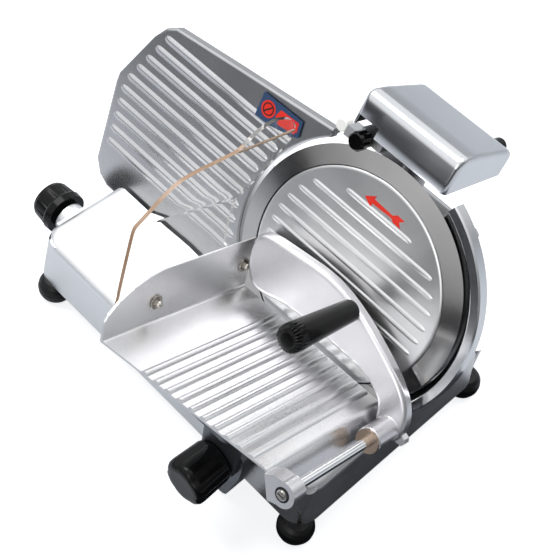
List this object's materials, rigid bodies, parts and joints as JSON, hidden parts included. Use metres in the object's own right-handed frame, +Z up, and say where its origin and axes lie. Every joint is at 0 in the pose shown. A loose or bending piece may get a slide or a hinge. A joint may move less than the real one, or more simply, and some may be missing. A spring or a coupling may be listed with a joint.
{
  "type": "deli meat slicer",
  "caption": "Gravity-feed slicer: hollow base on rubber feet, tilted round blade, ribbed thickness plate, sliding food tray with pusher and clear guard, lift-and-turn sharpener.",
  "frame": {"origin": "on the floor, under the middle of the whole machine's bounding box at rest", "axes": "+Z up; +Y along the tray's travel, away from the operator's end with the dial and the buttons; +X towards the side of the food tray"},
  "size_m": [0.3803, 0.472, 0.3449],
  "materials": {
    "cast_aluminium": "satin anodised casting",
    "gauge_aluminium": "ribbed, satin anodised",
    "polished_aluminium": "polished sheet",
    "pusher_aluminium": "satin casting",
    "blade_steel": "ground and polished",
    "brushed_cover": "brushed",
    "steel": "machined",
    "chromed_steel": "ground and chromed",
    "black_plastic": "glossy black",
    "dark_plastic": "matt",
    "rubber_black": "matt rubber",
    "clear_guard": "clear sheet with tinted edges",
    "honing_grit": "fine abrasive",
    "grinding_grit": "coarse abrasive",
    "painted_motor": "dark paint",
    "stator_iron": "laminations and windings",
    "green_plastic": "glossy green",
    "red_plastic": "glossy red",
    "grey_plastic": "white plastic can"
  },
  "bodies": {
    "machine": {"base_casting": "cast_aluminium", "foot_front_left": "rubber_black", "foot_front_right": "rubber_black", "foot_rear_left": "rubber_black", "foot_rear_right": "rubber_black", "foot_screws": "steel", "bottom_cover": "steel", "cover_screws": "steel", "motor_housing": "cast_aluminium", "rear_cover": "steel", "spindle_bearings": "steel", "blade_ring_guard": "cast_aluminium", "ring_guard_screws": "steel", "motor_shell": "painted_motor", "motor_stator": "stator_iron", "run_capacitor": "grey_plastic", "drive_belt": "rubber_black", "blade_cover": "brushed_cover", "gauge_guide_rod": "chromed_steel", "carriage_slide_rod": "chromed_steel", "carriage_guide_bar": "steel", "sharpener_turret": "cast_aluminium", "plate_stop": "grey_plastic", "switch_unit": "dark_plastic", "cord_gland": "dark_plastic"},
    "blade_unit": {"blade": "blade_steel", "blade_hub": "steel", "blade_pulley": "dark_plastic", "blade_screws": "steel"},
    "motor_rotor": {"motor_rotor": "steel", "motor_pulley": "dark_plastic"},
    "cover_knob": {"cover_knob": "black_plastic"},
    "gauge": {"gauge_plate": "gauge_aluminium", "gauge_bracket": "cast_aluminium", "gauge_screws": "steel"},
    "thickness_dial": {"thickness_knob": "black_plastic", "dial_camshaft": "steel"},
    "carriage": {"carriage_block": "cast_aluminium", "carriage_arm": "cast_aluminium", "tray_post": "cast_aluminium", "tray_nuts": "steel", "food_tray": "polished_aluminium", "hand_guard": "clear_guard", "guard_bolts": "steel", "pusher_rod": "chromed_steel", "rod_brackets": "cast_aluminium"},
    "carriage_roller": {"carriage_roller": "dark_plastic"},
    "tray_knob": {"tray_knob": "black_plastic"},
    "pusher_bush": {"pusher_bush": "chromed_steel"},
    "pusher": {"pusher_plate": "pusher_aluminium", "pusher_teeth": "dark_plastic", "pusher_handle": "black_plastic"},
    "sharpener_shaft": {"sharpener_shaft": "chromed_steel"},
    "sharpener_hood": {"sharpener_hood": "cast_aluminium"},
    "honing_stone": {"honing_stone": "honing_grit"},
    "grinding_button": {"grinding_button": "black_plastic"},
    "grinding_stone": {"grinding_stone": "grinding_grit"},
    "sharpener_knob": {"sharpener_knob": "black_plastic"},
    "start_button": {"start_button": "green_plastic"},
    "stop_button": {"stop_button": "red_plastic"}
  },
  "joints": [
    {"name": "blade_spin", "type": "hinge", "parent": "machine", "child": "blade_unit", "pos_m": [-0.03288, 0.094, 0.18], "axis": [0.9205, 0, 0.3907], "continuous": true},
    {"name": "motor_spin", "type": "hinge", "parent": "machine", "child": "motor_rotor", "pos_m": [-0.00787, 0.094, 0.12109], "axis": [0.9205, 0, 0.3907], "continuous": true},
    {"name": "cover_knob_turn", "type": "hinge", "parent": "machine", "child": "cover_knob", "pos_m": [-0.15255, 0.094, 0.1292], "axis": [0.9205, 0, 0.3907], "continuous": true},
    {"name": "gauge_slide", "type": "slide", "parent": "machine", "child": "gauge", "axis": [-0.9205, 0, -0.3907], "range_m": [0, 0.01]},
    {"name": "thickness_turn", "type": "hinge", "parent": "machine", "child": "thickness_dial", "pos_m": [0.06812, -0.196, 0.067], "axis": [0, 1, 0], "range_deg": [0, 300]},
    {"name": "carriage_slide", "type": "slide", "parent": "machine", "child": "carriage", "axis": [0, 1, 0], "range_m": [-0.225, 0]},
    {"name": "roller_turn", "type": "hinge", "parent": "carriage", "child": "carriage_roller", "pos_m": [0.04112, 0.123, 0.0513], "axis": [1, 0, 0], "continuous": true},
    {"name": "tray_knob_turn", "type": "hinge", "parent": "carriage", "child": "tray_knob", "pos_m": [0.15712, 0.123, 0.08], "axis": [1, 0, 0], "continuous": true},
    {"name": "pusher_slide", "type": "slide", "parent": "carriage", "child": "pusher_bush", "axis": [0.9205, 0, 0.3907], "range_m": [0, 0.11]},
    {"name": "pusher_swing", "type": "hinge", "parent": "pusher_bush", "child": "pusher", "pos_m": [0.02678, 0.215, 0.11624], "axis": [-0.9205, 0, -0.3907], "range_deg": [0, 90]},
    {"name": "sharpener_lift", "type": "slide", "parent": "machine", "child": "sharpener_shaft", "axis": [-0.3907, 0, 0.9205], "range_m": [-0.012, 0.03]},
    {"name": "sharpener_turn", "type": "hinge", "parent": "sharpener_shaft", "child": "sharpener_hood", "pos_m": [-0.12095, 0.089, 0.30557], "axis": [-0.3907, 0, 0.9205], "range_deg": [0, 180]},
    {"name": "honing_spin", "type": "hinge", "parent": "sharpener_hood", "child": "honing_stone", "pos_m": [-0.14036, 0.122, 0.29755], "axis": [0.9205, 0, 0.3907], "continuous": true},
    {"name": "grinding_press", "type": "slide", "parent": "sharpener_hood", "child": "grinding_button", "axis": [0.9205, 0, 0.3907], "range_m": [0, 0.003], "stiffness_N_per_m": 400},
    {"name": "grinding_spin", "type": "hinge", "parent": "grinding_button", "child": "grinding_stone", "pos_m": [-0.1533, 0.122, 0.28967], "axis": [0.9205, 0, 0.3907], "continuous": true},
    {"name": "sharpener_knob_turn", "type": "hinge", "parent": "machine", "child": "sharpener_knob", "pos_m": [-0.06832, 0.049, 0.30445], "axis": [0.9205, 0, 0.3907], "continuous": true},
    {"name": "start_press", "type": "slide", "parent": "machine", "child": "start_button", "axis": [0, 1, 0], "range_m": [0, 0.0025], "stiffness_N_per_m": 400},
    {"name": "stop_press", "type": "slide", "parent": "machine", "child": "stop_button", "axis": [0, 1, 0], "range_m": [0, 0.0025], "stiffness_N_per_m": 400}
  ],
  "couplings": [
    {"joint": "motor_spin", "follows": "blade_spin", "ratio": 4},
    {"joint": "thickness_turn", "follows": "gauge_slide", "rad_per_m": 523.6},
    {"joint": "roller_turn", "follows": "carriage_slide", "rad_per_m": -111.11}
  ]
}
